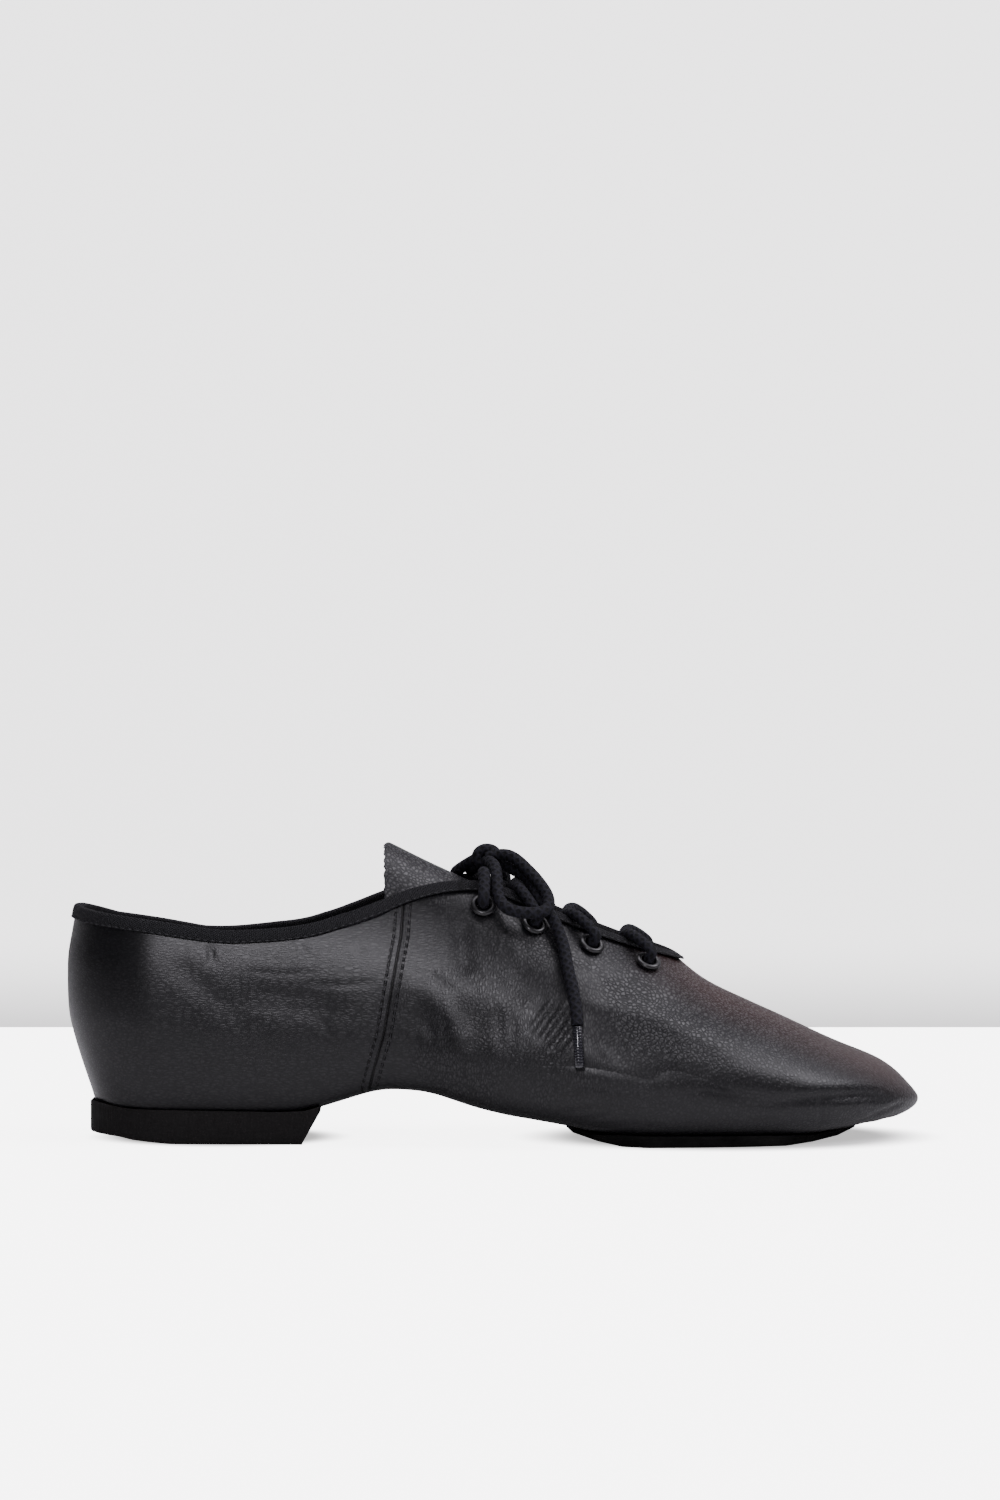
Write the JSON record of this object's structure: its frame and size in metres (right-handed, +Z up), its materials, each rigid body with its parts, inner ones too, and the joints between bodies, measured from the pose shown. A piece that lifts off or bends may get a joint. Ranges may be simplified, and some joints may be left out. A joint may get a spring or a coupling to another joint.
{
  "type": "jazz shoe",
  "caption": "Soft split-sole lace-up jazz shoe in black leather with a low heel, a bound collar and a free-standing tongue; right shoe.",
  "frame": {"origin": "on the floor under the middle of the heel's flat", "axes": "+X to the toe, +Y to the inner side of the foot, +Z up"},
  "size_m": [0.2564, 0.0892, 0.0903],
  "materials": {
    "upper_leather": "soft semi-gloss, fine grain",
    "tongue_leather": "soft satin, raw edge",
    "sole_suede": "napped suede",
    "heel_rubber": "matt, fine vertical grain",
    "insole_fabric": "matt woven",
    "binding_tape": "matt woven tape",
    "eyelet_metal": "black satin enamel",
    "lace_cord": "matt braided cord",
    "lace_tip": "clear film over dark cord"
  },
  "bodies": {
    "root": {"upper": "upper_leather", "forefoot_sole": "sole_suede", "heel": "heel_rubber", "insole": "insole_fabric", "tongue": "tongue_leather", "collar_binding": "binding_tape", "eyelet_outer_1": "eyelet_metal", "eyelet_outer_2": "eyelet_metal", "eyelet_outer_3": "eyelet_metal", "eyelet_outer_4": "eyelet_metal", "eyelet_inner_1": "eyelet_metal", "eyelet_inner_2": "eyelet_metal", "eyelet_inner_3": "eyelet_metal", "eyelet_inner_4": "eyelet_metal", "lace_crossing_1": "lace_cord", "lace_crossing_2": "lace_cord", "lace_crossing_3": "lace_cord", "lace_bar": "lace_cord", "lace_lead_outer": "lace_cord", "lace_lead_inner": "lace_cord", "lace_knot": "lace_cord", "lace_loop_outer": "lace_cord", "lace_loop_inner": "lace_cord", "lace_end_outer": "lace_cord", "lace_end_inner": "lace_cord", "lace_tip_outer": "lace_tip", "lace_tip_inner": "lace_tip"}
  },
  "joints": []
}
